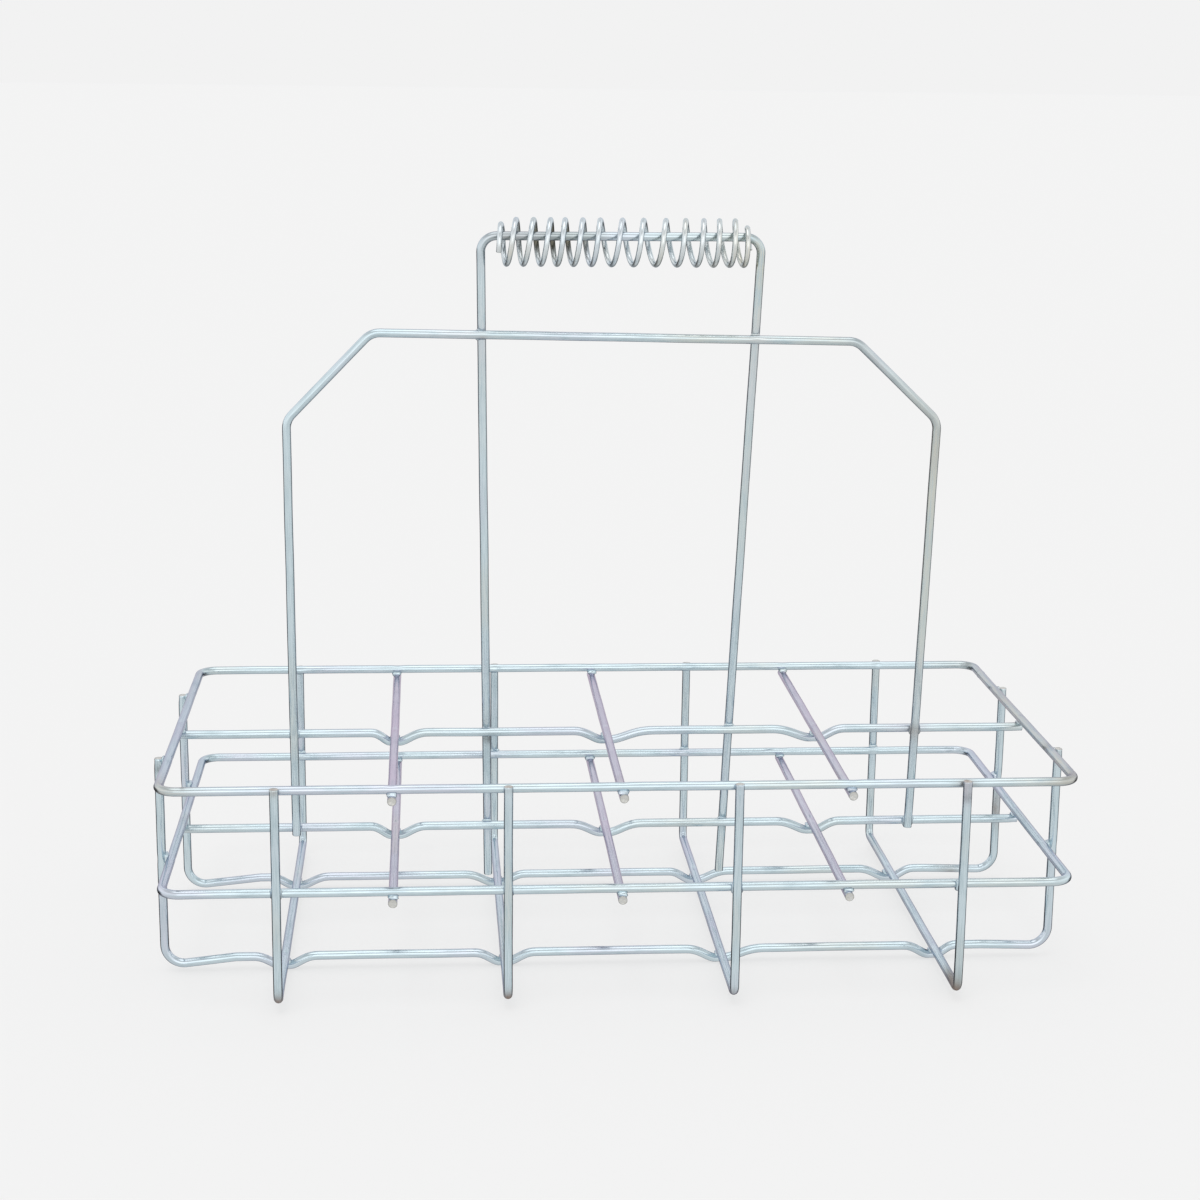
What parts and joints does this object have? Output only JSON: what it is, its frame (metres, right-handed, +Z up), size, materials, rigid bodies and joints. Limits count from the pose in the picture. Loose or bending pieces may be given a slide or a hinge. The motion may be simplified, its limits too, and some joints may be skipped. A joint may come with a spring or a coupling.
{
  "type": "wire bottle carrier",
  "caption": "Open carrier of welded galvanised wire with two rows of square bottle cells, a wide brace hoop and a tall centre handle with a loose coil of wire as its grip.",
  "frame": {"origin": "middle of the rack's footprint, at the height of the surface it stands on, which the crimps of the two base wires touch", "axes": "+X along a row of cells and along the hand bar, +Y across the two rows from front to back, +Z up through the handle"},
  "size_m": [0.4438, 0.2288, 0.3632],
  "materials": {
    "galvanised_wire": "drawn steel wire with a smooth, bluish zinc coat, a little dull, brownish at some welds and cut ends",
    "coil_wire": "thinner drawn steel wire, greyer and a little brighter, with warm dark stains on the inner side of some turns"
  },
  "bodies": {
    "frame": {"top_ring": "galvanised_wire", "middle_ring": "galvanised_wire", "top_centre_wire": "galvanised_wire", "middle_centre_wire": "galvanised_wire", "top_divider_1": "galvanised_wire", "top_divider_2": "galvanised_wire", "top_divider_3": "galvanised_wire", "middle_divider_1": "galvanised_wire", "middle_divider_2": "galvanised_wire", "middle_divider_3": "galvanised_wire", "cradle_wire_1": "galvanised_wire", "cradle_wire_2": "galvanised_wire", "cradle_wire_3": "galvanised_wire", "cradle_wire_4": "galvanised_wire", "base_wire_front": "galvanised_wire", "base_wire_back": "galvanised_wire", "handle_wire": "galvanised_wire", "brace_hoop": "galvanised_wire"},
    "grip": {"grip_coil": "coil_wire"}
  },
  "joints": [
    {"name": "grip_spin", "type": "hinge", "parent": "frame", "child": "grip", "pos_m": [0, 0.00177, 0.354], "axis": [1, 0, 0], "continuous": true}
  ]
}
